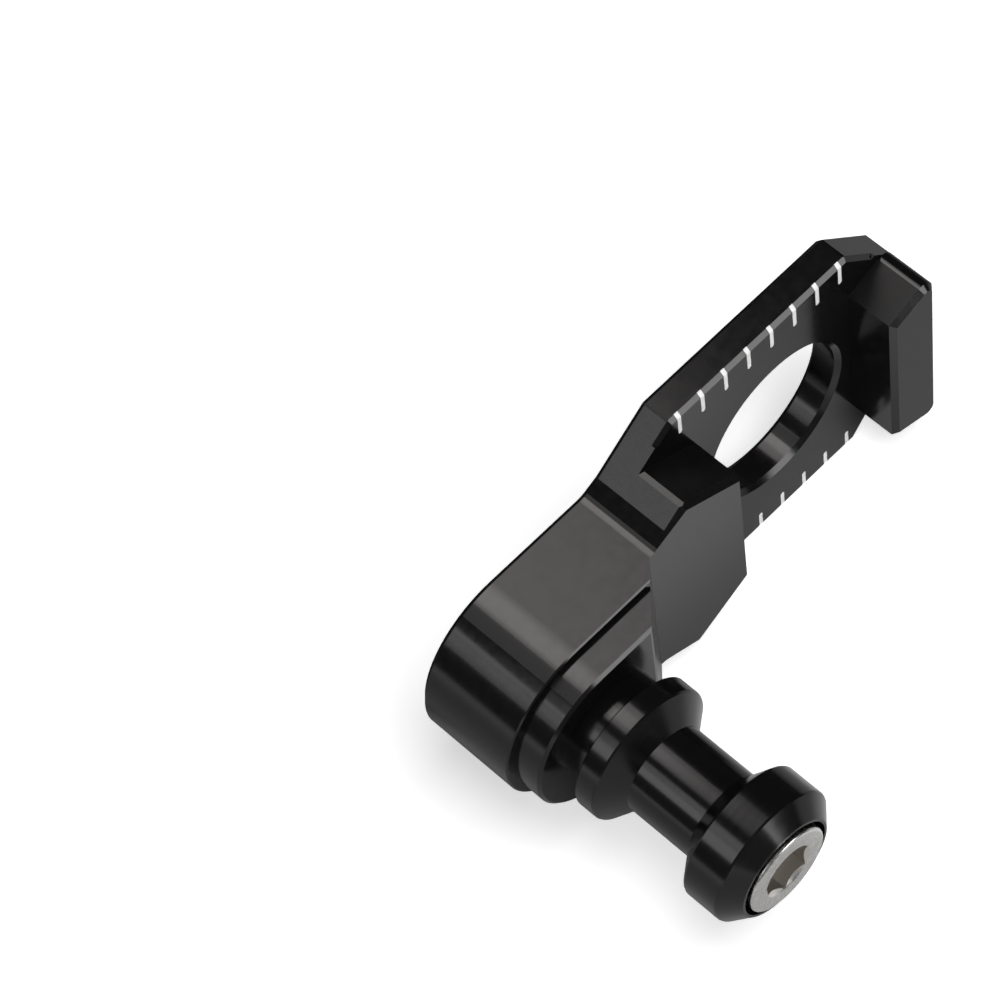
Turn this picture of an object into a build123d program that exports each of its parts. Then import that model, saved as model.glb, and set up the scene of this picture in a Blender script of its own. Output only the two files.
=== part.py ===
from build123d import *
import os
from math import isclose, radians, sqrt, tan

# Chain adjuster for a motorcycle swingarm, in millimetres.
# The origin is the centre of the axle bore, halfway through the plate. The plate lies in the XZ plane, the ear
# and its spool are towards -X, and the blocks and the spool stand on the front of the plate, towards -Y.

# Plate
plate_thickness = 6.0
plate_height = 52.0
far_corner_cut = 9.6
slope_angle = 36.4
foot_facet_angle = 24.5
foot_facet_rise = 1.5
foot_fillet = 4.0
front_edge_chamfer = 0.7
back_edge_chamfer = 0.85
corner_break = 0.3

# Axle bore
axle_bore_diameter = 28.0
axle_bore_chamfer = 0.8

# Blocks beside the axle bore
block_rise = 9.2
block_edge_chamfer = 0.9
near_land = 3.2
near_crown_width = 4.4
near_wall_height = 30.2
near_facet_angle = 26.9
near_run_out = 4.2
near_corner_break = 0.6
wall_edge_break = 0.15
far_land = 2.8
far_block_length = 9.7
far_wall_height = 31.6
far_facet_angle = 19.0
far_run_out = 2.1
far_corner_fillet = 2.2

# Ear that carries the spool
spool_distance = 55.0
ear_width = 33.0
ear_step_lift = 2.8
ear_step_width = 1.5
ear_step_break = 0.25
ear_nose_lift = 5.2
ear_edge_chamfer = 0.5
ramp_land = 1.0
ramp_angle = 45.0
ramp_edge_break = 0.3

# Index marks along the upper and lower edges
mark_count = 8
mark_pitch = 5.0
mark_first = -19.8
mark_width = 0.8
mark_depth = 0.2
upper_mark_length = 4.9
lower_mark_length = 4.0

# Screw
screw_diameter = 10.0
screw_head_overhang = 2.7
screw_head_height = 10.0
screw_head_fillet = 0.5
screw_head_proud = 0.65
screw_tip_recess = 1.2
screw_tip_chamfer = 1.0
hex_across_flats = 8.0
hex_depth = 5.0
hex_turn = 20.0
hex_mouth_land = 0.1
hex_mouth_angle = 40.0
thread_clearance = 0.05
screw_hole_chamfer = 0.4

# Spool
spool_neck_wall = 2.45
spool_flange_depth = 4.2
spool_collar_inset = 2.6
spool_end_wall = 0.45
collar_length = 4.2
inner_rim_length = 3.6
cone_length = 3.1
neck_length = 12.2
outer_rim_length = 6.3
end_taper_length = 2.8
flange_edge_break = 0.2
spool_bore_clearance = 0.25
counterbore_clearance = 0.8

# Places that follow from the sizes above
half_thickness = plate_thickness / 2
half_height = plate_height / 2
axle_bore_radius = axle_bore_diameter / 2
near_wall = axle_bore_radius + near_land
far_wall = axle_bore_radius + far_land
far_end = far_wall + far_block_length
ear_radius = ear_width / 2
nose_radius = ear_radius - ear_step_width
slope_start = near_wall + near_crown_width
slope_end = slope_start + (half_height - ear_radius - foot_facet_rise) / tan(radians(slope_angle))
slope_foot = slope_end + foot_facet_rise / tan(radians(foot_facet_angle))
block_front = half_thickness + block_rise
ear_step_front = block_front + ear_step_lift
ear_front = ear_step_front + ear_nose_lift
screw_radius = screw_diameter / 2
screw_hole_radius = screw_radius + thread_clearance
head_radius = screw_radius + screw_head_overhang
bore_radius = screw_radius + spool_bore_clearance
counterbore_radius = head_radius + counterbore_clearance
neck_radius = bore_radius + spool_neck_wall
flange_radius = neck_radius + spool_flange_depth
collar_radius = flange_radius - spool_collar_inset
end_radius = counterbore_radius + spool_end_wall
ramp_rate = tan(radians(ramp_angle))
ramp_top = spool_distance - collar_radius - ramp_land
ramp_foot = ramp_top - (ear_front - block_front) / ramp_rate
body_reach = spool_distance + ear_width + far_end

# The spool's own plane: its x is the radius, its y runs out from the ear's front along the spool's axis.
spool_plane = Plane(origin=(-spool_distance, -ear_front, 0), x_dir=(1, 0, 0), z_dir=(0, 0, -1))
spool_axis = Axis(origin=(-spool_distance, 0, 0), direction=(0, 1, 0))

# Outline of the plate and its ear
with BuildSketch(Plane.XZ) as outline:
    upper_corners = [
        (-slope_foot, ear_radius),
        (-slope_end, ear_radius + foot_facet_rise),
        (-slope_start, half_height),
        (far_end - far_corner_cut, half_height),
        (far_end, half_height - far_corner_cut),
    ]
    lower_corners = [(x, -z) for x, z in reversed(upper_corners)]
    ear_top = (-spool_distance, ear_radius)
    ear_bottom = (-spool_distance, -ear_radius)
    with BuildLine():
        Polyline(ear_top, *upper_corners, *lower_corners, ear_bottom)
        ThreePointArc(ear_bottom, (-spool_distance - ear_radius, 0), ear_top)
    make_face()
    slope_feet = outline.vertices().group_by(Axis.X)[1]
    fillet(slope_feet, foot_fillet)


def block_face(wall, wall_height, facet_angle, outward):
    """Part of the outline behind a block's wall, between facets that open outward from the axle bore."""
    half_wall = wall_height / 2
    half_open = half_wall + body_reach * tan(radians(facet_angle))
    wall_x = outward * wall
    open_x = outward * (wall + body_reach)
    with BuildSketch(Plane.XZ) as face:
        add(outline.sketch_local)
        with BuildLine():
            Polyline(
                (wall_x, half_wall),
                (open_x, half_open),
                (open_x, -half_open),
                (wall_x, -half_wall),
                close=True,
            )
        make_face(mode=Mode.INTERSECT)
    return face


def corner_chips(face, pick_corners, size, plane):
    """Slivers that a break of this size takes off the picked corners of a face."""
    with BuildSketch(plane) as trimmed:
        add(face.sketch_local)
        chamfer(pick_corners(trimmed.vertices()), size)
    with BuildSketch(plane) as chips:
        add(face.sketch_local)
        add(trimmed.sketch_local, mode=Mode.SUBTRACT)
    return chips.sketch


def plate_corners(vertices):
    """The corners along the plate's upper and lower edges."""
    columns = vertices.group_by(Axis.X)
    return columns[-3] + columns[-2]


def crown_corners(vertices):
    """The highest and the lowest corner of a face."""
    by_height = vertices.sort_by(Axis.Y)
    return [by_height[0], by_height[-1]]


near_block_face = block_face(near_wall, near_wall_height, near_facet_angle, outward=-1)
near_foot_face = block_face(near_wall, near_wall_height + 2 * near_run_out, near_facet_angle, outward=-1)
far_foot_face = block_face(far_wall, far_wall_height + 2 * far_run_out, far_facet_angle, outward=1)

# The far block stands past the plate's cut corners, and its own outer corners are round.
with BuildSketch(Plane.XZ.offset(half_thickness)) as far_block_face:
    far_wall_half = far_wall_height / 2
    far_end_half = far_wall_half + far_block_length * tan(radians(far_facet_angle))
    with BuildLine():
        Polyline(
            (far_wall, far_wall_half),
            (far_end, far_end_half),
            (far_end, -far_end_half),
            (far_wall, -far_wall_half),
            close=True,
        )
    make_face()
    outer_corners = far_block_face.vertices().group_by(Axis.X)[-1]
    fillet(outer_corners, far_corner_fillet)


def ear_face(radius):
    """One step of the ear: round about the spool's axis, and straight as far as the foot of the ramp."""
    with BuildSketch(Plane.XZ) as face:
        with Locations((-spool_distance, 0)):
            Circle(radius)
            Rectangle(spool_distance - ramp_foot, 2 * radius, align=(Align.MIN, Align.CENTER))
    return face.sketch


with BuildPart() as ear:
    # Two steps, each with its front edge broken
    extrude(ear_face(ear_radius), amount=ear_step_front)
    ear_step = ear.faces().sort_by(Axis.Y)[0]
    chamfer(ear_step.edges(), ear_step_break)
    extrude(ear_face(nose_radius), amount=ear_front)
    ear_nose = ear.faces().sort_by(Axis.Y)[0]
    chamfer(ear_nose.edges(), ear_edge_chamfer)

    # Ramp from the ear's front down to the near block, with its front edge broken
    with BuildSketch(Plane.XY):
        with BuildLine():
            Polyline(
                (-ramp_foot, -block_front),
                (-ramp_top + ramp_edge_break / ramp_rate, -ear_front + ramp_edge_break),
                (-ramp_top - ramp_edge_break, -ear_front),
                (-ramp_top - ramp_edge_break, -ear_front - block_rise),
                (-ramp_foot, -ear_front - block_rise),
                close=True,
            )
        make_face()
    extrude(amount=half_height, both=True, mode=Mode.SUBTRACT)


with BuildPart() as adjuster_body:
    # Plate, with both of its faces broken all round
    extrude(outline.sketch, amount=half_thickness, both=True)
    plate_front = adjuster_body.faces().sort_by(Axis.Y)[0]
    chamfer(plate_front.edges(), front_edge_chamfer)
    plate_back = adjuster_body.faces().sort_by(Axis.Y)[-1]
    chamfer(plate_back.edges(), back_edge_chamfer)

    # Corners of the plate, broken from front to back
    plate_chips = corner_chips(outline, plate_corners, corner_break, Plane.XZ)
    extrude(plate_chips, amount=half_thickness, both=True, mode=Mode.SUBTRACT)

    # The plate's front edge is left square for a short way beside each block.
    extrude(far_foot_face.sketch, amount=half_thickness)
    extrude(near_foot_face.sketch, amount=half_thickness)

    # Far block, chamfered all round its front
    extrude(far_block_face.sketch, amount=block_rise)
    far_block_front = adjuster_body.faces().sort_by(Axis.Y)[0]
    chamfer(far_block_front.edges(), block_edge_chamfer)

    # Near block and neck, chamfered along its facets and slopes, with a fine break at the wall beside the bore
    extrude(near_block_face.sketch, amount=block_front)
    near_block_front = adjuster_body.faces().group_by(Axis.Y)[0].sort_by(Axis.X)[0]
    near_edges = near_block_front.edges().sort_by(Axis.X)
    chamfer(near_edges[-5:-1], block_edge_chamfer)
    near_block_front = adjuster_body.faces().group_by(Axis.Y)[0].sort_by(Axis.X)[0]
    wall_edge = near_block_front.edges().sort_by(Axis.X)[-1]
    chamfer(wall_edge, wall_edge_break, 2 * wall_edge_break, reference=near_block_front)

    # Corners of the near block, broken along its height
    block_chips = corner_chips(near_block_face, crown_corners, near_corner_break, Plane.XZ.offset(half_thickness))
    extrude(block_chips, amount=block_rise, mode=Mode.SUBTRACT)

    # Ear
    add(ear.part)

    # Axle bore, wider at both of its mouths
    with BuildSketch(Plane.XY):
        axle_mouth_radius = axle_bore_radius + axle_bore_chamfer
        axle_wall_end = half_thickness - axle_bore_chamfer
        with BuildLine():
            Polyline(
                (0, -half_thickness),
                (axle_mouth_radius, -half_thickness),
                (axle_bore_radius, -axle_wall_end),
                (axle_bore_radius, axle_wall_end),
                (axle_mouth_radius, half_thickness),
                (0, half_thickness),
                close=True,
            )
        make_face()
    revolve(axis=Axis.Y, mode=Mode.SUBTRACT)

    # Threaded hole for the spool's screw, wider at its mouth on the back face
    with BuildSketch(spool_plane):
        back_face = -ear_front - half_thickness
        with BuildLine():
            Polyline(
                (0, 0),
                (screw_hole_radius, 0),
                (screw_hole_radius, back_face + screw_hole_chamfer),
                (screw_hole_radius + screw_hole_chamfer, back_face),
                (0, back_face),
                close=True,
            )
        make_face()
    revolve(axis=spool_axis, mode=Mode.SUBTRACT)

    # Index marks, cut down the front face and across the chamfer beside it
    mark_places = [mark_first + index * mark_pitch for index in range(mark_count)]
    for side, length in ((1, upper_mark_length), (-1, lower_mark_length)):
        run = length - mark_width / 2
        with BuildSketch(Plane.XZ.offset(half_thickness)):
            with Locations(*[(x, side * (half_height - run / 2)) for x in mark_places]):
                Rectangle(mark_width, run)
            with Locations(*[(x, side * (half_height - run)) for x in mark_places]):
                Circle(mark_width / 2)
        extrude(amount=-mark_depth, mode=Mode.SUBTRACT)
        chamfer_middle = (0, -half_thickness + front_edge_chamfer / 2, side * (half_height - front_edge_chamfer / 2))
        chamfer_run = front_edge_chamfer * sqrt(2) + mark_depth
        with BuildSketch(Plane(origin=chamfer_middle, x_dir=(1, 0, 0), z_dir=(0, -1, side))):
            with Locations(*[(x, 0) for x in mark_places]):
                Rectangle(mark_width, chamfer_run)
        extrude(amount=-mark_depth, mode=Mode.SUBTRACT)


# Where each stretch of the spool ends, out from the ear's front
collar_end = collar_length
inner_rim_end = collar_end + inner_rim_length
neck_start = inner_rim_end + cone_length
neck_end = neck_start + neck_length
outer_rim_start = neck_end + cone_length
outer_rim_end = outer_rim_start + outer_rim_length
spool_end = outer_rim_end + end_taper_length
head_top = spool_end + screw_head_proud
head_seat = head_top - screw_head_height

with BuildPart() as stand_spool:
    with BuildSketch(spool_plane):
        with BuildLine():
            Polyline(
                (bore_radius, 0),
                (collar_radius, 0),
                (collar_radius, collar_end),
                (flange_radius, collar_end),
                (flange_radius, inner_rim_end),
                (neck_radius, neck_start),
                (neck_radius, neck_end),
                (flange_radius, outer_rim_start),
                (flange_radius, outer_rim_end),
                (end_radius, spool_end),
                (counterbore_radius, spool_end),
                (counterbore_radius, head_seat),
                (bore_radius, head_seat),
                close=True,
            )
        make_face()
    revolve(axis=spool_axis)
    round_edges = stand_spool.edges().filter_by(GeomType.CIRCLE)
    chamfer(round_edges.filter_by(lambda edge: isclose(edge.radius, flange_radius)), flange_edge_break)


with BuildPart() as spool_screw:
    with BuildSketch(spool_plane):
        tip = screw_tip_recess - ear_front - half_thickness
        with BuildLine():
            Polyline(
                (0, head_top),
                (head_radius, head_top),
                (head_radius, head_seat),
                (screw_radius, head_seat),
                (screw_radius, tip),
                (0, tip),
                close=True,
            )
        make_face()
    revolve(axis=spool_axis)
    round_edges = spool_screw.edges().filter_by(GeomType.CIRCLE).sort_by(Axis.Y)
    fillet(round_edges[0], screw_head_fillet)
    chamfer(round_edges[-1], screw_tip_chamfer)
    with BuildSketch(Plane.XZ.offset(ear_front + head_top)):
        with Locations((-spool_distance, 0)):
            RegularPolygon(hex_across_flats / 2, 6, major_radius=False, rotation=hex_turn)
    extrude(amount=-hex_depth, mode=Mode.SUBTRACT)
    with BuildSketch(spool_plane):
        mouth_radius = hex_across_flats / sqrt(3) + hex_mouth_land
        with BuildLine():
            Polyline(
                (0, head_top),
                (mouth_radius, head_top),
                (0, head_top - mouth_radius * tan(radians(hex_mouth_angle))),
                close=True,
            )
        make_face()
    revolve(axis=spool_axis, mode=Mode.SUBTRACT)


os.makedirs("parts", exist_ok=True)
adjuster_body.part.label = "adjuster_body"
export_step(adjuster_body.part, "parts/adjuster_body.step")
stand_spool.part.label = "stand_spool"
export_step(stand_spool.part, "parts/stand_spool.step")
spool_screw.part.label = "spool_screw"
export_step(spool_screw.part, "parts/spool_screw.step")
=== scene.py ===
import math

import bpy
from mathutils import Matrix, Vector


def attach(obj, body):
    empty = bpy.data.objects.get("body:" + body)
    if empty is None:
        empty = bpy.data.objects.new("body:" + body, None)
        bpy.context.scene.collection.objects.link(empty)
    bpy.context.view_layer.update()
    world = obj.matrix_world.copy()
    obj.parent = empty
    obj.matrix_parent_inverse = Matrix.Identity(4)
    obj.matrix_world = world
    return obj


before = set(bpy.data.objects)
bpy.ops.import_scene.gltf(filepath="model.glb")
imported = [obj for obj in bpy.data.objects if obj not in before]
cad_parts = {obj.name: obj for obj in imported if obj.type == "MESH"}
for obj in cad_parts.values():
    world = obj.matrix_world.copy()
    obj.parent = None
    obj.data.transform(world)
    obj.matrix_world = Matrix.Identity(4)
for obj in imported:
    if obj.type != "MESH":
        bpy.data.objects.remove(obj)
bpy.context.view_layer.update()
scene = bpy.context.scene
scene.view_settings.view_transform = "Standard"

# Sizes of the adjuster that the looks need, in metres and degrees
MILLIMETRE = 0.001
HALF_THICKNESS = 3.0 * MILLIMETRE
HALF_HEIGHT = 26.0 * MILLIMETRE
EDGE_CHAMFER = 0.7 * MILLIMETRE
SLOPE_ANGLE = 36.4
FAR_FACET_ANGLE = 19.0
NEAR_FACET_ANGLE = 26.9
SPOOL_X = -55.0 * MILLIMETRE
HEAD_FACE_Y = -56.15 * MILLIMETRE
SOCKET_RADIUS = 4.7 * MILLIMETRE
SOCKET_MOUTH = 0.2 * MILLIMETRE

# Index marks and their fill
MARK_COUNT = 8
MARK_PITCH = 5.0 * MILLIMETRE
MARK_FIRST = -19.8 * MILLIMETRE
MARK_WIDTH = 0.8 * MILLIMETRE
MARK_DEPTH = 0.2 * MILLIMETRE
UPPER_MARK_LENGTH = 4.9 * MILLIMETRE
LOWER_MARK_LENGTH = 4.0 * MILLIMETRE
FILL_SUNK = 0.03 * MILLIMETRE
FOOT_STEPS = 24
FOOT_LEVEL = 0.01 * MILLIMETRE
OUTLINE_MERGE = 0.005 * MILLIMETRE
SOLID_MERGE = 0.001 * MILLIMETRE

# Camera
EYE = Vector((-0.2553, -0.26757, 0.60336))
CAMERA_RIGHT = Vector((0.69772893, -0.71106818, -0.08692747))
CAMERA_UP = Vector((0.64632768, 0.57253502, 0.50444443))
CAMERA_BACK = Vector((-0.30892536, -0.4081491, 0.8590573))
SENSOR_WIDTH = 36.0
FOCAL_LENGTH = 165.35
NEAREST_SEEN = 0.01
FARTHEST_SEEN = 20.0

# Studio
LAMP_AIM = Vector((-0.03, -0.01, 0.0))
WARM_LIGHT = (1.0, 0.955, 0.94)
WHITE = (1, 1, 1, 1)
STUDIO_DARK = 0.03
STUDIO_GLOW = 0.1
STUDIO_GLOW_SIDE = (-0.7, -0.7, 0.14)
STUDIO_GLOW_SPAN = (0.0, 0.8)

# Floor: its paper, how bright it looks to the camera, and the painted light and shade it shows in the finish
FLOOR_Z = -26.0 * MILLIMETRE
FLOOR_HALF = 3.0
FLOOR_PAPER = (0.9, 0.9, 0.9, 1)
# Near-black tone that replaces the paper in the finish: painted shade in the reflected floor
FLOOR_PAINTED_SHADE = (0.04, 0.04, 0.04, 1)
FLOOR_SEEN = 0.6
FLOOR_MIRRORED = 0.54
# Painted light: a glow of the floor that only the finish shows
FLOOR_GLOW = 0.3
FLOOR_DISTANT = 0.6
# Painted shade where the floor shows by two reflections in the far block's corner
FLOOR_CORNER_SHADE = 0.8
MORE_THAN_ONCE = 1.5

# Where each effect on the floor starts and is full, along X or Y
GLOW_FROM_LEFT = (-0.045, -0.025)
GLOW_FROM_RIGHT = (0.03, -0.01)
GLOW_FROM_FRONT = (-0.014, -0.032)
BEFORE_BACK = (0.024, 0.004)
PAST_LEFT_END = (-0.07, -0.1)
PAST_RIGHT_END = (0.06, 0.1)
DISTANT_LEFT = (-0.12, -0.4)
BY_FAR_BLOCK = (-0.02, 0.0)

# Finishes
ANODISED_IOR = 1.5
MARK_DETAIL = 4.0
MARK_ROUGHNESS = 0.6
BLOTCH_DETAIL = 3.0
MARK_SPREAD = (0.3, 0.7)
FACE_SPAN = (0.996, 0.999)
SLOPE_GRAIN = 0.12
SLOPE_BUMP = 9.0
FAR_FACET_GRAIN = 0.38
NEAR_FACET_GRAIN = 0.16
PLATE_STREAKS = (9000, 1500, 9000)
PLATE_BLOTCHES = (700, 700, 700)
SPOOL_RINGS = 5000.0
SPOOL_AROUND = 1.5
SPOOL_BLOTCHES = (300, 300, 300)
SCREW_RINGS = 4000.0
SCREW_AROUND = 2.0
SCREW_BLOTCHES = (1400, 1400, 1400)
SOCKET_TONE = (0.78, 0.75, 0.71, 1)
SOCKET_BLUR = 0.08
FILL_STREAKS = (5000, 5000, 5000)
FILL_BLOTCHES = (900, 900, 900)

# Places of a mix node's sockets for numbers and for colours
MIX_SOCKETS = {"FLOAT": (2, 3, 0), "RGBA": (6, 7, 2)}


# Helpers for node trees

def link(tree, out_node, out_name, in_node, in_name):
    """Join one node's output to another's input."""
    tree.links.new(out_node.outputs[out_name], in_node.inputs[in_name])


def plug(tree, value, socket):
    """Feed a socket from another socket or from a plain value."""
    if isinstance(value, bpy.types.NodeSocket):
        tree.links.new(value, socket)
    else:
        socket.default_value = value


def math_node(tree, operation, first, second):
    """A sum, product or other operation on two sockets or numbers."""
    made = tree.nodes.new("ShaderNodeMath")
    made.operation = operation
    plug(tree, first, made.inputs[0])
    plug(tree, second, made.inputs[1])
    return made.outputs[0]


def product(tree, *factors):
    """The product of two or more sockets or numbers."""
    result = factors[0]
    for factor in factors[1:]:
        result = math_node(tree, "MULTIPLY", result, factor)
    return result


def mix_node(tree, kind, share, first, second):
    """A blend of two numbers or colours by a share."""
    made = tree.nodes.new("ShaderNodeMix")
    made.data_type = kind
    first_place, second_place, result_place = MIX_SOCKETS[kind]
    plug(tree, share, made.inputs["Factor"])
    plug(tree, first, made.inputs[first_place])
    plug(tree, second, made.inputs[second_place])
    return made.outputs[result_place]


def step_between(tree, source, span):
    """A smooth step from nought to one while a value goes from the start of a span to its end."""
    ramp = tree.nodes.new("ShaderNodeMapRange")
    ramp.interpolation_type = "SMOOTHSTEP"
    ramp.inputs["From Min"].default_value = span[0]
    ramp.inputs["From Max"].default_value = span[1]
    tree.links.new(source, ramp.inputs["Value"])
    return ramp.outputs["Result"]


def along_direction(tree, source, direction):
    """How far a vector goes along a fixed direction."""
    dot = tree.nodes.new("ShaderNodeVectorMath")
    dot.operation = "DOT_PRODUCT"
    tree.links.new(source, dot.inputs[0])
    dot.inputs[1].default_value = direction
    return dot.outputs["Value"]


# Camera and studio

def make_camera():
    """Camera at the photo's angle."""
    data = bpy.data.cameras.new("camera")
    data.sensor_width = SENSOR_WIDTH
    data.lens = FOCAL_LENGTH
    data.clip_start = NEAREST_SEEN
    data.clip_end = FARTHEST_SEEN
    camera = bpy.data.objects.new("camera", data)
    scene.collection.objects.link(camera)
    turn = Matrix((CAMERA_RIGHT, CAMERA_UP, CAMERA_BACK)).transposed().to_4x4()
    camera.matrix_world = Matrix.Translation(EYE) @ turn
    scene.camera = camera


def make_world():
    """Dark studio with a dim glow from the front left, and white where the camera looks past the floor."""
    world = bpy.data.worlds.new("studio")
    scene.world = world
    world.use_nodes = True
    tree = world.node_tree
    tree.nodes.clear()
    path = tree.nodes.new("ShaderNodeLightPath")
    place = tree.nodes.new("ShaderNodeTexCoord")
    front_left = along_direction(tree, place.outputs["Generated"], STUDIO_GLOW_SIDE)
    glow = product(tree, step_between(tree, front_left, STUDIO_GLOW_SPAN), STUDIO_GLOW)
    dark = tree.nodes.new("ShaderNodeBackground")
    dark.inputs["Color"].default_value = WHITE
    tree.links.new(math_node(tree, "ADD", glow, STUDIO_DARK), dark.inputs["Strength"])
    white = tree.nodes.new("ShaderNodeBackground")
    white.inputs["Color"].default_value = WHITE
    mix = tree.nodes.new("ShaderNodeMixShader")
    out = tree.nodes.new("ShaderNodeOutputWorld")
    link(tree, path, "Is Camera Ray", mix, 0)
    tree.links.new(dark.outputs["Background"], mix.inputs[1])
    tree.links.new(white.outputs["Background"], mix.inputs[2])
    link(tree, mix, "Shader", out, "Surface")


def make_floor_material():
    """White paper. Seen in the finish it carries painted light and shade: it is dimmer overall, painted dark
    behind the part and in the far block's corner, and painted brighter in front of the near block and far
    off to the left.
    """
    material = bpy.data.materials.new("floor")
    material.use_nodes = True
    tree = material.node_tree
    tree.nodes.clear()
    path = tree.nodes.new("ShaderNodeLightPath")
    place = tree.nodes.new("ShaderNodeTexCoord")
    parts = tree.nodes.new("ShaderNodeSeparateXYZ")
    link(tree, place, "Object", parts, "Vector")
    along_x = parts.outputs["X"]
    along_y = parts.outputs["Y"]
    is_mirrored = path.outputs["Is Glossy Ray"]

    # Part of the floor that shows lit in the finish: all but the strip behind the part, which is painted
    # dark there
    before_back = step_between(tree, along_y, BEFORE_BACK)
    past_left_end = step_between(tree, along_x, PAST_LEFT_END)
    past_right_end = step_between(tree, along_x, PAST_RIGHT_END)
    beside = math_node(tree, "MAXIMUM", past_left_end, past_right_end)
    shown = math_node(tree, "MAXIMUM", before_back, beside)

    # Painted shade in the corner by the far block: the floor is darkened where it shows by two reflections
    # there
    twice = math_node(tree, "GREATER_THAN", path.outputs["Glossy Depth"], MORE_THAN_ONCE)
    by_far_block = step_between(tree, along_x, BY_FAR_BLOCK)
    corner_shade = product(tree, twice, by_far_block, FLOOR_CORNER_SHADE)
    once = math_node(tree, "SUBTRACT", 1.0, corner_shade)

    # Painted light on the floor, seen only in the finish: a glow in front of the near block, and far off to
    # the left
    past_left = step_between(tree, along_x, GLOW_FROM_LEFT)
    before_right = step_between(tree, along_x, GLOW_FROM_RIGHT)
    past_front = step_between(tree, along_y, GLOW_FROM_FRONT)
    middle_glow = product(tree, past_left, before_right, past_front, before_back, FLOOR_GLOW)
    distant_glow = product(tree, step_between(tree, along_x, DISTANT_LEFT), FLOOR_DISTANT)
    mirror_glow = math_node(tree, "ADD", middle_glow, distant_glow)
    mirrored = product(tree, is_mirrored, product(tree, mirror_glow, once))
    seen = product(tree, path.outputs["Is Camera Ray"], FLOOR_SEEN)
    glow = tree.nodes.new("ShaderNodeEmission")
    glow.inputs["Color"].default_value = WHITE
    tree.links.new(math_node(tree, "ADD", seen, mirrored), glow.inputs["Strength"])

    # Paper, which in the finish gives way to a near-black one: painted shade that dims the reflected floor,
    # most of all behind the part and in the far block's corner
    paper = tree.nodes.new("ShaderNodeBsdfDiffuse")
    paper.inputs["Color"].default_value = FLOOR_PAPER
    dark = tree.nodes.new("ShaderNodeBsdfDiffuse")
    dark.inputs["Color"].default_value = FLOOR_PAINTED_SHADE
    kept = product(tree, shown, FLOOR_MIRRORED, once)
    painted_shade_share = product(tree, is_mirrored, math_node(tree, "SUBTRACT", 1.0, kept))
    mirror_paper = tree.nodes.new("ShaderNodeMixShader")
    tree.links.new(painted_shade_share, mirror_paper.inputs[0])
    tree.links.new(paper.outputs["BSDF"], mirror_paper.inputs[1])
    tree.links.new(dark.outputs["BSDF"], mirror_paper.inputs[2])
    both = tree.nodes.new("ShaderNodeAddShader")
    tree.links.new(mirror_paper.outputs["Shader"], both.inputs[0])
    tree.links.new(glow.outputs["Emission"], both.inputs[1])
    out = tree.nodes.new("ShaderNodeOutputMaterial")
    link(tree, both, "Shader", out, "Surface")
    return material


def make_floor():
    """Plain floor under the part, which keeps a soft shadow."""
    corners = [
        (-FLOOR_HALF, -FLOOR_HALF, FLOOR_Z),
        (FLOOR_HALF, -FLOOR_HALF, FLOOR_Z),
        (FLOOR_HALF, FLOOR_HALF, FLOOR_Z),
        (-FLOOR_HALF, FLOOR_HALF, FLOOR_Z),
    ]
    mesh = bpy.data.meshes.new("floor")
    mesh.from_pydata(corners, [], [(0, 1, 2, 3)])
    floor = bpy.data.objects.new("floor", mesh)
    scene.collection.objects.link(floor)
    mesh.materials.append(make_floor_material())


def make_softbox(name, place, width, length, radiance, along):
    """A rectangular lamp aimed at the part, evenly bright, with its length along one direction."""
    data = bpy.data.lights.new(name, "AREA")
    data.shape = "RECTANGLE"
    data.size = width
    data.size_y = length
    data.energy = radiance * math.pi * width * length
    lamp = bpy.data.objects.new(name, data)
    scene.collection.objects.link(lamp)
    back = (Vector(place) - LAMP_AIM).normalized()
    right = Vector(along).cross(back).normalized()
    up = back.cross(right)
    turn = Matrix((right, up, back)).transposed().to_4x4()
    lamp.matrix_world = Matrix.Translation(place) @ turn
    return lamp


def make_lamps():
    """Softboxes that show in the finish, and one broad lamp that lights the floor."""
    overhead = [
        make_softbox(
            "overhead_softbox", place=(-0.008, 0.327, 0.55),
            width=0.415, length=0.3, radiance=2.4, along=(0, 1, -0.4),
        ),
        make_softbox(
            "overhead_core", place=(-0.03, 0.317, 0.54),
            width=0.2, length=0.29, radiance=1.6, along=(0, 1, -0.4),
        ),
        make_softbox(
            "overhead_front", place=(-0.02, 0.05, 0.6),
            width=0.34, length=0.25, radiance=0.4, along=(0, 1, -0.1),
        ),
    ]
    left = [
        make_softbox(
            "left_softbox", place=(-0.48, 0.23, 0.335),
            width=0.19, length=0.7, radiance=1.95, along=(0, 1, 0),
        ),
        make_softbox(
            "left_front_softbox", place=(-0.37, 0.08, 0.44),
            width=0.11, length=0.2, radiance=1.7, along=(0, 1, 0),
        ),
    ]
    for lamp in overhead:
        lamp.data.color = WARM_LIGHT
    for lamp in overhead + left:
        lamp.visible_diffuse = False
    make_softbox(
        "front_softbox", place=(0.2, -0.52, 0.27),
        width=0.36, length=0.2, radiance=4.5, along=(0, 0, 1),
    )
    key = make_softbox(
        "key_lamp", place=(-0.05, -0.2, 0.57),
        width=0.34, length=0.34, radiance=7.3, along=(0, 1, 0),
    )
    key.visible_glossy = False


# Finishes

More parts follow.
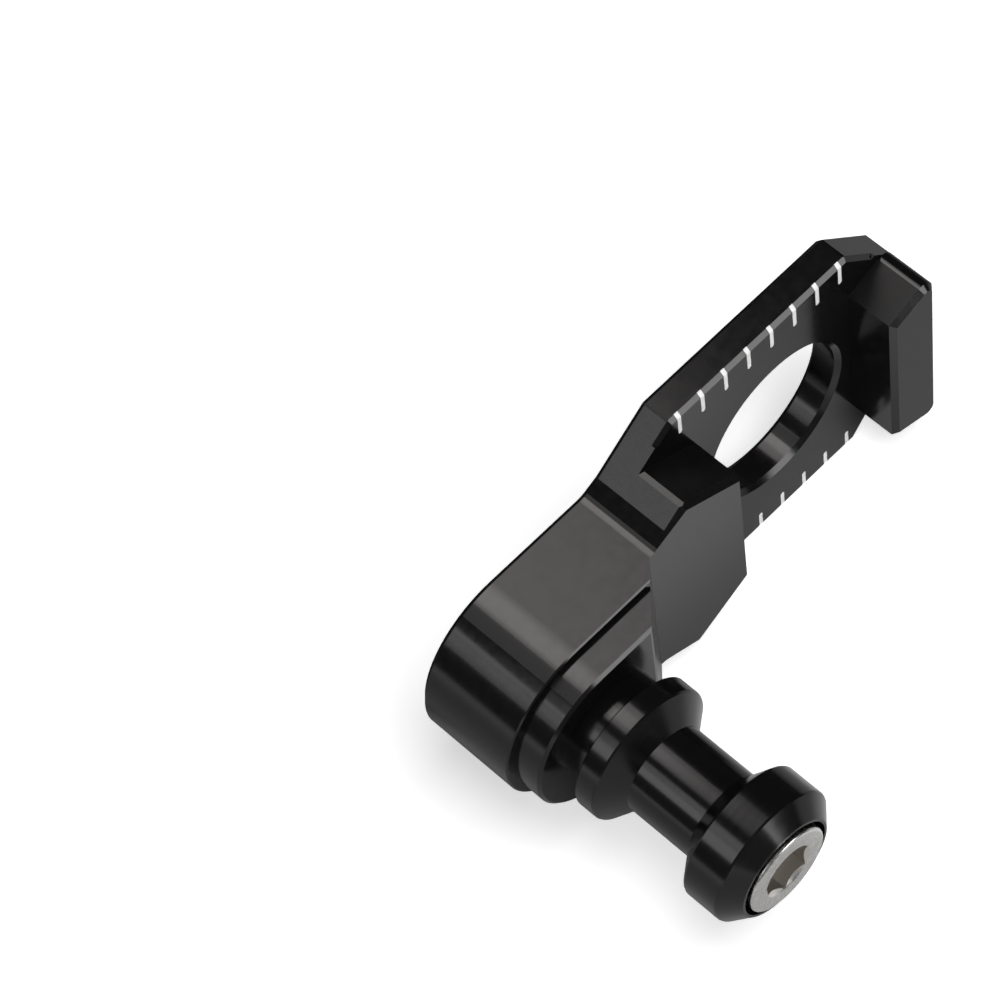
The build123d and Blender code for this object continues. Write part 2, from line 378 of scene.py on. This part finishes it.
def make_tool_marks_group():
    """Fine streaks and mottle of a machined surface: streaks along a stretched vector, and soft blotches."""
    group = bpy.data.node_groups.new("tool_marks", "ShaderNodeTree")
    for name, way, kind in (
        ("Streak Vector", "INPUT", "NodeSocketVector"),
        ("Blotch Vector", "INPUT", "NodeSocketVector"),
        ("Streak Share", "INPUT", "NodeSocketFloat"),
        ("Low Roughness", "INPUT", "NodeSocketFloat"),
        ("High Roughness", "INPUT", "NodeSocketFloat"),
        ("Dark Tone", "INPUT", "NodeSocketColor"),
        ("Light Tone", "INPUT", "NodeSocketColor"),
        ("Tone", "OUTPUT", "NodeSocketColor"),
        ("Roughness", "OUTPUT", "NodeSocketFloat"),
        ("Height", "OUTPUT", "NodeSocketFloat"),
    ):
        group.interface.new_socket(name, in_out=way, socket_type=kind)
    given = group.nodes.new("NodeGroupInput")
    made = group.nodes.new("NodeGroupOutput")
    streaks = group.nodes.new("ShaderNodeTexNoise")
    streaks.inputs["Scale"].default_value = 1.0
    streaks.inputs["Detail"].default_value = MARK_DETAIL
    streaks.inputs["Roughness"].default_value = MARK_ROUGHNESS
    blotches = group.nodes.new("ShaderNodeTexNoise")
    blotches.inputs["Scale"].default_value = 1.0
    blotches.inputs["Detail"].default_value = BLOTCH_DETAIL
    link(group, given, "Streak Vector", streaks, "Vector")
    link(group, given, "Blotch Vector", blotches, "Vector")
    share = given.outputs["Streak Share"]
    blend = mix_node(group, "FLOAT", share, blotches.outputs["Fac"], streaks.outputs["Fac"])
    spread = group.nodes.new("ShaderNodeMapRange")
    spread.inputs["From Min"].default_value = MARK_SPREAD[0]
    spread.inputs["From Max"].default_value = MARK_SPREAD[1]
    group.links.new(blend, spread.inputs["Value"])
    level = spread.outputs["Result"]
    picked = given.outputs
    roughness = mix_node(group, "FLOAT", level, picked["Low Roughness"], picked["High Roughness"])
    tone = mix_node(group, "RGBA", level, picked["Dark Tone"], picked["Light Tone"])
    group.links.new(tone, made.inputs["Tone"])
    group.links.new(roughness, made.inputs["Roughness"])
    link(group, streaks, "Fac", made, "Height")
    return group


def new_finish(name):
    """A new material with a principled shader, and its tree."""
    material = bpy.data.materials.new(name)
    material.use_nodes = True
    tree = material.node_tree
    shader = tree.nodes["Principled BSDF"]
    return material, tree, shader


def place_tool_marks(tree, group, shader, bump_distance, **values):
    """Feed a shader's tone, roughness and bump from the tool marks, and give back the group node."""
    marks = tree.nodes.new("ShaderNodeGroup")
    marks.node_tree = group
    for name, value in values.items():
        marks.inputs[name.replace("_", " ").title()].default_value = value
    bump = tree.nodes.new("ShaderNodeBump")
    bump.inputs["Strength"].default_value = 1.0
    bump.inputs["Distance"].default_value = bump_distance
    link(tree, marks, "Height", bump, "Height")
    link(tree, bump, "Normal", shader, "Normal")
    link(tree, marks, "Tone", shader, "Base Color")
    link(tree, marks, "Roughness", shader, "Roughness")
    return marks


def stretched(tree, source, scale):
    """Object coordinates stretched by a scale along each axis."""
    mapping = tree.nodes.new("ShaderNodeMapping")
    mapping.inputs["Scale"].default_value = scale
    tree.links.new(source, mapping.inputs["Vector"])
    return mapping.outputs["Vector"]


def face_mask(tree, direction):
    """One where a face looks along a direction, with its height counted the same above and below."""
    geometry = tree.nodes.new("ShaderNodeNewGeometry")
    parts = tree.nodes.new("ShaderNodeSeparateXYZ")
    link(tree, geometry, "Normal", parts, "Vector")
    folded = tree.nodes.new("ShaderNodeCombineXYZ")
    link(tree, parts, "X", folded, "X")
    link(tree, parts, "Y", folded, "Y")
    tree.links.new(math_node(tree, "ABSOLUTE", parts.outputs["Z"], 0.0), folded.inputs["Z"])
    return step_between(tree, along_direction(tree, folded.outputs["Vector"], direction), FACE_SPAN)


def make_milled_black(group):
    """Black anodised milled plate: smooth faces, with a coarser grain on the slopes and the facets."""
    material, tree, shader = new_finish("milled_black")
    shader.inputs["Metallic"].default_value = 0.0
    shader.inputs["IOR"].default_value = ANODISED_IOR
    marks = place_tool_marks(
        tree, group, shader, bump_distance=0.0000004,
        streak_share=0.4, low_roughness=0.12, high_roughness=0.19,
        dark_tone=(0.0028, 0.0028, 0.003, 1), light_tone=(0.0052, 0.0048, 0.0046, 1),
    )
    coordinates = tree.nodes.new("ShaderNodeTexCoord")
    place = coordinates.outputs["Object"]
    tree.links.new(stretched(tree, place, PLATE_STREAKS), marks.inputs["Streak Vector"])
    tree.links.new(stretched(tree, place, PLATE_BLOTCHES), marks.inputs["Blotch Vector"])
    slope_turn = math.radians(SLOPE_ANGLE)
    far_turn = math.radians(FAR_FACET_ANGLE)
    near_turn = math.radians(NEAR_FACET_ANGLE)
    slopes = face_mask(tree, (-math.sin(slope_turn), 0.0, math.cos(slope_turn)))
    far_facets = face_mask(tree, (-math.sin(far_turn), 0.0, math.cos(far_turn)))
    near_facets = face_mask(tree, (math.sin(near_turn), 0.0, math.cos(near_turn)))
    coarser = math_node(tree, "ADD", product(tree, slopes, SLOPE_BUMP), 1.0)
    bump = shader.inputs["Normal"].links[0].from_node
    tree.links.new(product(tree, marks.outputs["Height"], coarser), bump.inputs["Height"])
    far_grain = product(tree, far_facets, FAR_FACET_GRAIN)
    near_grain = product(tree, near_facets, NEAR_FACET_GRAIN)
    facet_grain = math_node(tree, "ADD", far_grain, near_grain)
    grain = math_node(tree, "ADD", product(tree, slopes, SLOPE_GRAIN), facet_grain)
    tree.links.new(math_node(tree, "ADD", marks.outputs["Roughness"], grain), shader.inputs["Roughness"])
    return material


def turned_place(tree, source):
    """Place on a turned piece: its height along the spool's axis, flat vector from it and radius."""
    centred = tree.nodes.new("ShaderNodeMapping")
    centred.inputs["Location"].default_value = (-SPOOL_X, 0, 0)
    tree.links.new(source, centred.inputs["Vector"])
    parts = tree.nodes.new("ShaderNodeSeparateXYZ")
    link(tree, centred, "Vector", parts, "Vector")
    flat = tree.nodes.new("ShaderNodeCombineXYZ")
    link(tree, parts, "X", flat, "X")
    link(tree, parts, "Z", flat, "Y")
    radius = tree.nodes.new("ShaderNodeVectorMath")
    radius.operation = "LENGTH"
    link(tree, flat, "Vector", radius, "Vector")
    return {"height": parts.outputs["Y"], "flat": flat.outputs["Vector"], "radius": radius.outputs["Value"]}


def turned_rings(tree, place, ring_scale, around_scale):
    """Coordinates on a turned piece: fine along its axis and its radius, coarse around it."""
    around = tree.nodes.new("ShaderNodeVectorMath")
    around.operation = "NORMALIZE"
    tree.links.new(place["flat"], around.inputs["Vector"])
    steady = tree.nodes.new("ShaderNodeVectorMath")
    steady.operation = "SCALE"
    steady.inputs["Scale"].default_value = around_scale
    link(tree, around, "Vector", steady, "Vector")
    rings = product(tree, math_node(tree, "ADD", place["height"], place["radius"]), ring_scale)
    lift = tree.nodes.new("ShaderNodeCombineXYZ")
    tree.links.new(rings, lift.inputs["Z"])
    both = tree.nodes.new("ShaderNodeVectorMath")
    both.operation = "ADD"
    tree.links.new(steady.outputs["Vector"], both.inputs[0])
    tree.links.new(lift.outputs["Vector"], both.inputs[1])
    return both.outputs["Vector"]


def make_turned_black(group):
    """Black anodised turned spool: fine rings round its axis."""
    material, tree, shader = new_finish("turned_black")
    shader.inputs["Metallic"].default_value = 0.0
    shader.inputs["IOR"].default_value = ANODISED_IOR
    marks = place_tool_marks(
        tree, group, shader, bump_distance=0.0000012,
        streak_share=0.7, low_roughness=0.13, high_roughness=0.2,
        dark_tone=(0.0026, 0.0026, 0.0028, 1), light_tone=(0.0042, 0.0042, 0.0044, 1),
    )
    coordinates = tree.nodes.new("ShaderNodeTexCoord")
    source = coordinates.outputs["Object"]
    rings = turned_rings(tree, turned_place(tree, source), SPOOL_RINGS, SPOOL_AROUND)
    tree.links.new(rings, marks.inputs["Streak Vector"])
    tree.links.new(stretched(tree, source, SPOOL_BLOTCHES), marks.inputs["Blotch Vector"])
    return material


def make_bright_steel(group):
    """Plated steel screw: bright and slightly speckled, with a warmer, duller socket."""
    material, tree, shader = new_finish("bright_steel")
    shader.inputs["Metallic"].default_value = 1.0
    marks = place_tool_marks(
        tree, group, shader, bump_distance=0.0000007,
        streak_share=0.25, low_roughness=0.2, high_roughness=0.34,
        dark_tone=(0.66, 0.65, 0.64, 1), light_tone=(0.87, 0.86, 0.84, 1),
    )
    coordinates = tree.nodes.new("ShaderNodeTexCoord")
    source = coordinates.outputs["Object"]
    place = turned_place(tree, source)
    rings = turned_rings(tree, place, SCREW_RINGS, SCREW_AROUND)
    tree.links.new(rings, marks.inputs["Streak Vector"])
    tree.links.new(stretched(tree, source, SCREW_BLOTCHES), marks.inputs["Blotch Vector"])
    inside = math_node(tree, "LESS_THAN", place["radius"], SOCKET_RADIUS)
    below = math_node(tree, "GREATER_THAN", place["height"], HEAD_FACE_Y + SOCKET_MOUTH)
    socket = product(tree, inside, below)
    tone = mix_node(tree, "RGBA", socket, marks.outputs["Tone"], SOCKET_TONE)
    tree.links.new(tone, shader.inputs["Base Color"])
    blur = product(tree, socket, SOCKET_BLUR)
    tree.links.new(math_node(tree, "ADD", marks.outputs["Roughness"], blur), shader.inputs["Roughness"])
    return material


def make_white_fill(group):
    """Matt white paint in the index marks."""
    material, tree, shader = new_finish("white_fill")
    marks = place_tool_marks(
        tree, group, shader, bump_distance=0.000001,
        streak_share=0.5, low_roughness=0.5, high_roughness=0.7,
        dark_tone=(0.86, 0.86, 0.85, 1), light_tone=(0.95, 0.95, 0.94, 1),
    )
    coordinates = tree.nodes.new("ShaderNodeTexCoord")
    source = coordinates.outputs["Object"]
    tree.links.new(stretched(tree, source, FILL_STREAKS), marks.inputs["Streak Vector"])
    tree.links.new(stretched(tree, source, FILL_BLOTCHES), marks.inputs["Blotch Vector"])
    return material


def dress(node, material):
    """Give a CAD node a better material."""
    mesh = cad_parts[node].data
    if not mesh.materials:
        mesh.materials.append(material)
    for index in range(len(mesh.materials)):
        mesh.materials[index] = material


# Index marks

class MarkTree:
    """Makes the node tree that fills a row of index marks, one named input for each size."""

    def __init__(self, material):
        self.tree = bpy.data.node_groups.new("index_mark_row", "GeometryNodeTree")
        face = self.tree.interface
        self.sockets = {}
        for name, kind in (
            ("Count", "NodeSocketInt"),
            ("Pitch", "NodeSocketFloat"),
            ("First", "NodeSocketFloat"),
            ("Width", "NodeSocketFloat"),
            ("Length", "NodeSocketFloat"),
            ("Chamfer", "NodeSocketFloat"),
            ("Floor", "NodeSocketFloat"),
            ("Top", "NodeSocketFloat"),
            ("Half Height", "NodeSocketFloat"),
            ("Turn", "NodeSocketFloat"),
        ):
            socket = face.new_socket(name, in_out="INPUT", socket_type=kind)
            self.sockets[name] = socket.identifier
        face.new_socket("Geometry", in_out="OUTPUT", socket_type="NodeSocketGeometry")
        self.given = self.tree.nodes.new("NodeGroupInput")
        self.build(material)

    def node(self, kind, **settings):
        """A new node with some of its settings."""
        made = self.tree.nodes.new(kind)
        for name, value in settings.items():
            setattr(made, name, value)
        return made

    def plug(self, value, socket):
        """Feed a socket from another socket or from a plain value."""
        plug(self.tree, value, socket)

    def math(self, operation, first, second=0.0):
        """An operation on one or two sockets or numbers."""
        return math_node(self.tree, operation, first, second)

    def vector(self, x=0.0, y=0.0, z=0.0):
        """A vector from three sockets or numbers."""
        made = self.node("ShaderNodeCombineXYZ")
        self.plug(x, made.inputs[0])
        self.plug(y, made.inputs[1])
        self.plug(z, made.inputs[2])
        return made.outputs[0]

    def moved(self, geometry, shift, turn=None):
        """Geometry shifted, and turned where a turn is given."""
        made = self.node("GeometryNodeTransform")
        self.plug(geometry, made.inputs["Geometry"])
        self.plug(shift, made.inputs["Translation"])
        if turn is not None:
            self.plug(turn, made.inputs["Rotation"])
        return made.outputs["Geometry"]

    def bar(self, half_width, run, thickness):
        """A bar with a round foot at the origin, running along Y, standing along Z."""
        circle = self.node("GeometryNodeCurvePrimitiveCircle")
        circle.inputs["Resolution"].default_value = FOOT_STEPS
        self.plug(half_width, circle.inputs["Radius"])
        place = self.node("GeometryNodeInputPosition")
        parts = self.node("ShaderNodeSeparateXYZ")
        self.plug(place.outputs[0], parts.inputs[0])
        upper = self.math("GREATER_THAN", parts.outputs["Y"], FOOT_LEVEL)
        side = self.math("SIGN", parts.outputs["X"])
        end_point = self.vector(self.math("MULTIPLY", side, half_width), run, 0.0)
        squared = self.node("GeometryNodeSetPosition")
        self.plug(circle.outputs["Curve"], squared.inputs["Geometry"])
        self.plug(upper, squared.inputs["Selection"])
        self.plug(end_point, squared.inputs["Position"])
        filled = self.node("GeometryNodeFillCurve")
        self.plug(squared.outputs[0], filled.inputs[0])
        merged = self.node("GeometryNodeMergeByDistance")
        merged.inputs["Distance"].default_value = OUTLINE_MERGE
        self.plug(filled.outputs[0], merged.inputs["Geometry"])
        raised = self.node("GeometryNodeExtrudeMesh")
        self.plug(merged.outputs[0], raised.inputs["Mesh"])
        self.plug(self.vector(0.0, 0.0, 1.0), raised.inputs["Offset"])
        self.plug(thickness, raised.inputs["Offset Scale"])
        raised.inputs["Individual"].default_value = False
        flipped = self.node("GeometryNodeFlipFaces")
        self.plug(merged.outputs[0], flipped.inputs["Mesh"])
        joined = self.node("GeometryNodeJoinGeometry")
        self.plug(raised.outputs["Mesh"], joined.inputs[0])
        self.plug(flipped.outputs[0], joined.inputs[0])
        closed = self.node("GeometryNodeMergeByDistance")
        closed.inputs["Distance"].default_value = SOLID_MERGE
        self.plug(joined.outputs[0], closed.inputs["Geometry"])
        return closed.outputs[0]

    def build(self, material):
        """One filled mark, copied along its row."""
        given = self.given.outputs
        half_width = self.math("MULTIPLY", given["Width"], 0.5)
        thickness = self.math("SUBTRACT", given["Top"], given["Floor"])

        # Bar on the plate's front, from its round foot to the chamfer
        run = self.math("SUBTRACT", given["Length"], self.math("ADD", half_width, given["Chamfer"]))
        straight = self.math("SUBTRACT", given["Length"], half_width)
        foot = self.math("SUBTRACT", given["Half Height"], straight)
        face_bar = self.moved(self.bar(half_width, run, thickness), self.vector(0.0, foot, given["Floor"]))

        # Bar on the chamfer
        chamfer_bar = self.node("GeometryNodeMeshCube")
        slant = self.math("MULTIPLY", given["Chamfer"], math.sqrt(2))
        self.plug(self.vector(given["Width"], slant, thickness), chamfer_bar.inputs["Size"])
        half_chamfer = self.math("MULTIPLY", given["Chamfer"], 0.5)
        middle = self.math("MULTIPLY", self.math("ADD", given["Floor"], given["Top"]), 0.5)
        sunk = self.math("MULTIPLY", middle, math.sqrt(0.5))
        drop = self.math("SUBTRACT", sunk, half_chamfer)
        level = self.math("ADD", self.math("SUBTRACT", given["Half Height"], half_chamfer), sunk)
        slanted = self.vector(-math.pi / 4, 0.0, 0.0)
        chamfer_part = self.moved(chamfer_bar.outputs["Mesh"], self.vector(0.0, level, drop), slanted)

        # Both bars, turned to the upper or lower edge and stood on the plate's front
        joined = self.node("GeometryNodeJoinGeometry")
        self.plug(face_bar, joined.inputs[0])
        self.plug(chamfer_part, joined.inputs[0])
        turned = self.moved(joined.outputs[0], self.vector(), self.vector(0.0, 0.0, given["Turn"]))
        to_front = self.vector(0.0, -HALF_THICKNESS, 0.0)
        upright = self.moved(turned, to_front, self.vector(math.pi / 2, 0.0, 0.0))

        # Row of copies
        row = self.node("GeometryNodeMeshLine", mode="OFFSET")
        self.plug(given["Count"], row.inputs["Count"])
        self.plug(self.vector(given["First"], 0.0, 0.0), row.inputs["Start Location"])
        self.plug(self.vector(given["Pitch"], 0.0, 0.0), row.inputs["Offset"])
        copies = self.node("GeometryNodeInstanceOnPoints")
        self.plug(row.outputs["Mesh"], copies.inputs["Points"])
        self.plug(upright, copies.inputs["Instance"])
        real = self.node("GeometryNodeRealizeInstances")
        self.plug(copies.outputs[0], real.inputs[0])
        painted = self.node("GeometryNodeSetMaterial")
        painted.inputs["Material"].default_value = material
        self.plug(real.outputs[0], painted.inputs["Geometry"])
        out = self.node("NodeGroupOutput")
        self.plug(painted.outputs[0], out.inputs[0])


def make_mark_row(marks, name, length, turn):
    """One row of filled index marks as a plain mesh that rides with the part."""
    maker = bpy.data.objects.new(name + "_maker", bpy.data.meshes.new(name + "_maker"))
    scene.collection.objects.link(maker)
    modifier = maker.modifiers.new("marks", "NODES")
    modifier.node_group = marks.tree
    values = {
        "Count": MARK_COUNT,
        "Pitch": MARK_PITCH,
        "First": MARK_FIRST,
        "Width": MARK_WIDTH,
        "Length": length,
        "Chamfer": EDGE_CHAMFER,
        "Floor": -MARK_DEPTH,
        "Top": -FILL_SUNK,
        "Half Height": HALF_HEIGHT,
        "Turn": turn,
    }
    for key, value in values.items():
        modifier[marks.sockets[key]] = value
    bpy.context.view_layer.update()
    evaluated = maker.evaluated_get(bpy.context.evaluated_depsgraph_get())
    mesh = bpy.data.meshes.new_from_object(evaluated)
    mesh.name = name
    bpy.data.objects.remove(maker)
    row = bpy.data.objects.new(name, mesh)
    scene.collection.objects.link(row)
    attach(row, "root")


def main():
    """The whole scene: camera, studio, finishes and filled marks."""
    make_camera()
    make_world()
    make_floor()
    make_lamps()
    tool_marks = make_tool_marks_group()
    dress("adjuster_body", make_milled_black(tool_marks))
    dress("stand_spool", make_turned_black(tool_marks))
    dress("spool_screw", make_bright_steel(tool_marks))
    marks = MarkTree(make_white_fill(tool_marks))
    make_mark_row(marks, "upper_mark_fill", UPPER_MARK_LENGTH, 0.0)
    make_mark_row(marks, "lower_mark_fill", LOWER_MARK_LENGTH, math.pi)


main()
